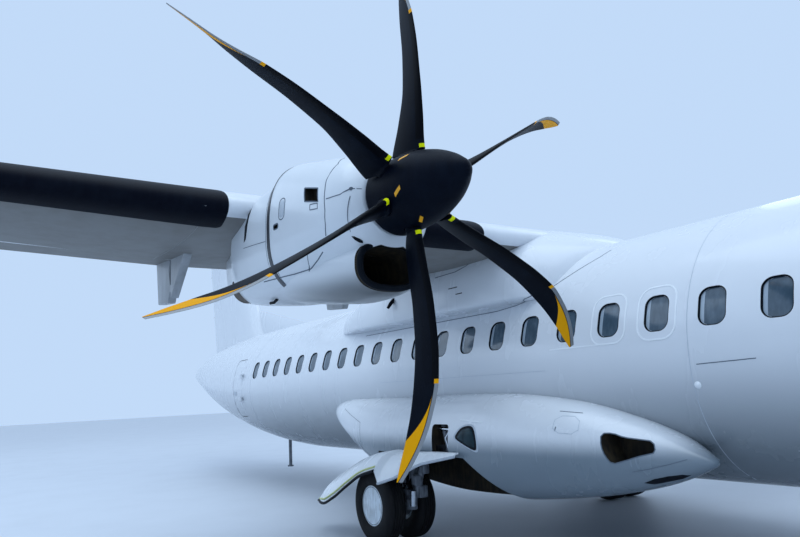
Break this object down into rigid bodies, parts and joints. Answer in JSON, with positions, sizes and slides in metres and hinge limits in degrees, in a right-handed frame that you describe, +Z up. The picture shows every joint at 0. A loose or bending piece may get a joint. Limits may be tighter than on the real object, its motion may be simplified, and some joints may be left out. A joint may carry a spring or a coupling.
{
  "type": "turboprop airliner",
  "caption": "High-wing airliner with two turboprop engines, a T-tail and gear pods, parked on its wheels with a safety stand under the tail.",
  "frame": {"origin": "on the ground, under the middle of the aircraft's overall length, on its centreline", "axes": "+X forwards to the nose, +Y to port, +Z up"},
  "size_m": [27.166, 27.05, 7.65],
  "materials": {
    "white_metal": "gloss white paint on aluminium, wet",
    "white_composite": "gloss white paint on composite, wet",
    "cockpit_glass": "dark tinted glass",
    "blade_black": "satin black composite with yellow tips",
    "spinner_black": "matt black composite",
    "engine_metal": "dull metal casing",
    "exhaust_metal": "heat-stained steel",
    "gear_steel": "grey painted steel",
    "hub_white": "white painted wheel",
    "tyre_rubber": "wet black rubber"
  },
  "bodies": {
    "airframe": {"radome": "white_composite", "nose_section": "white_metal", "forward_fuselage": "white_metal", "centre_fuselage": "white_metal", "rear_fuselage": "white_metal", "tail_section": "white_metal", "tail_cone": "white_composite", "cockpit_glazing": "cockpit_glass", "wing_centre": "white_metal", "wing_outer_left": "white_metal", "wing_outer_right": "white_metal", "wing_tip_left": "white_composite", "wing_tip_right": "white_composite", "wing_fairing": "white_composite", "gear_pod_left": "white_composite", "gear_pod_right": "white_composite", "nacelle_left": "white_composite", "nacelle_right": "white_composite", "engine_left": "engine_metal", "engine_right": "engine_metal", "exhaust_left": "exhaust_metal", "exhaust_right": "exhaust_metal", "fin": "white_composite", "fin_bullet": "white_composite", "tailplane": "white_composite", "main_leg_left": "gear_steel", "main_leg_right": "gear_steel", "main_gear_door_left": "white_composite", "main_gear_door_right": "white_composite", "nose_leg": "gear_steel", "nose_gear_door_left": "white_composite", "nose_gear_door_right": "white_composite", "tail_stand": "gear_steel"},
    "propeller_left": {"propeller_left": "blade_black", "spinner_left": "spinner_black"},
    "propeller_right": {"propeller_right": "blade_black", "spinner_right": "spinner_black"},
    "main_wheels_left": {"main_hubs_left": "hub_white", "main_tyre_inner_left": "tyre_rubber", "main_tyre_outer_left": "tyre_rubber"},
    "main_wheels_right": {"main_hubs_right": "hub_white", "main_tyre_inner_right": "tyre_rubber", "main_tyre_outer_right": "tyre_rubber"},
    "nose_fork": {"nose_fork": "gear_steel"},
    "nose_wheels": {"nose_hubs": "hub_white", "nose_tyre_left": "tyre_rubber", "nose_tyre_right": "tyre_rubber"},
    "passenger_door": {"passenger_door": "white_metal"},
    "cargo_door": {"cargo_door": "white_metal"},
    "service_door": {"service_door": "white_metal"},
    "flap_inner_left": {"flap_inner_left": "white_composite"},
    "flap_inner_right": {"flap_inner_right": "white_composite"},
    "flap_outer_left": {"flap_outer_left": "white_composite"},
    "flap_outer_right": {"flap_outer_right": "white_composite"},
    "aileron_left": {"aileron_left": "white_composite"},
    "aileron_right": {"aileron_right": "white_composite"},
    "rudder": {"rudder": "white_composite"},
    "elevator_left": {"elevator_left": "white_composite"},
    "elevator_right": {"elevator_right": "white_composite"}
  },
  "joints": [
    {"name": "propeller_spin_left", "type": "hinge", "parent": "airframe", "child": "propeller_left", "pos_m": [5.011, 4.05, 3.131], "axis": [1, 0, 0], "continuous": true},
    {"name": "propeller_spin_right", "type": "hinge", "parent": "airframe", "child": "propeller_right", "pos_m": [5.011, -4.05, 3.131], "axis": [1, 0, 0], "continuous": true},
    {"name": "main_wheels_roll_left", "type": "hinge", "parent": "airframe", "child": "main_wheels_left", "pos_m": [1.421, 2.05, 0.432], "axis": [0, 1, 0], "continuous": true},
    {"name": "main_wheels_roll_right", "type": "hinge", "parent": "airframe", "child": "main_wheels_right", "pos_m": [1.421, -2.05, 0.432], "axis": [0, 1, 0], "continuous": true},
    {"name": "nose_steering", "type": "hinge", "parent": "airframe", "child": "nose_fork", "pos_m": [12.163, 0, 0.5], "axis": [0, 0, 1], "range_deg": [-60, 60]},
    {"name": "nose_wheels_roll", "type": "hinge", "parent": "nose_fork", "child": "nose_wheels", "pos_m": [12.163, 0, 0.225], "axis": [0, 1, 0], "continuous": true},
    {"name": "passenger_door_swing", "type": "hinge", "parent": "airframe", "child": "passenger_door", "pos_m": [-5.717, 1.24815, 1.39], "axis": [-0.9942, -0.1075, 0], "range_deg": [0, 140]},
    {"name": "cargo_door_lift", "type": "hinge", "parent": "airframe", "child": "cargo_door", "pos_m": [10.353, 1.18769, 2.68], "axis": [0.9988, -0.0499, 0], "range_deg": [0, 120]},
    {"name": "service_door_swing", "type": "hinge", "parent": "airframe", "child": "service_door", "pos_m": [-5.607, -1.44141, 1.985], "axis": [0, 0, 1], "range_deg": [0, 135]},
    {"name": "flap_outer_left_turn", "type": "hinge", "parent": "airframe", "child": "flap_outer_left", "pos_m": [1.19469, 4.62, 3.00514], "axis": [-0.0014, -0.9987, -0.0502], "range_deg": [0, 35]},
    {"name": "flap_outer_right_turn", "type": "hinge", "parent": "airframe", "child": "flap_outer_right", "pos_m": [1.19469, -4.62, 3.00514], "axis": [0.0014, -0.9987, 0.0502], "range_deg": [0, 35]},
    {"name": "flap_inner_left_turn", "type": "hinge", "parent": "airframe", "child": "flap_inner_left", "pos_m": [1.19469, 1.56, 3.00514], "axis": [0, -1, 0], "range_deg": [0, 35]},
    {"name": "flap_inner_right_turn", "type": "hinge", "parent": "airframe", "child": "flap_inner_right", "pos_m": [1.19469, -1.56, 3.00514], "axis": [0, -1, 0], "range_deg": [0, 35]},
    {"name": "aileron_left_turn", "type": "hinge", "parent": "airframe", "child": "aileron_left", "pos_m": [1.14665, 9.62, 3.66666], "axis": [0.004, 0.999, 0.0448], "range_deg": [-14, 14]},
    {"name": "aileron_right_turn", "type": "hinge", "parent": "airframe", "child": "aileron_right", "pos_m": [1.14665, -9.62, 3.66666], "axis": [0.004, -0.999, 0.0448], "range_deg": [-14, 14]},
    {"name": "rudder_turn", "type": "hinge", "parent": "airframe", "child": "rudder", "pos_m": [-10.20754, 0, 3.06], "axis": [-0.3379, 0, 0.9412], "range_deg": [-27, 27]},
    {"name": "elevator_left_turn", "type": "hinge", "parent": "airframe", "child": "elevator_left", "pos_m": [-12.33221, 0.24, 7.33], "axis": [-0.0051, 1, 0], "range_deg": [-13.5, 23.5]},
    {"name": "elevator_right_turn", "type": "hinge", "parent": "airframe", "child": "elevator_right", "pos_m": [-12.33221, -0.24, 7.33], "axis": [-0.0051, -1, 0], "range_deg": [-23.5, 13.5]}
  ],
  "couplings": [
    {"joint": "flap_outer_right_turn", "follows": "flap_outer_left_turn", "ratio": 1},
    {"joint": "flap_inner_left_turn", "follows": "flap_outer_left_turn", "ratio": 1},
    {"joint": "flap_inner_right_turn", "follows": "flap_outer_left_turn", "ratio": 1},
    {"joint": "aileron_right_turn", "follows": "aileron_left_turn", "ratio": 1},
    {"joint": "elevator_right_turn", "follows": "elevator_left_turn", "ratio": -1}
  ]
}
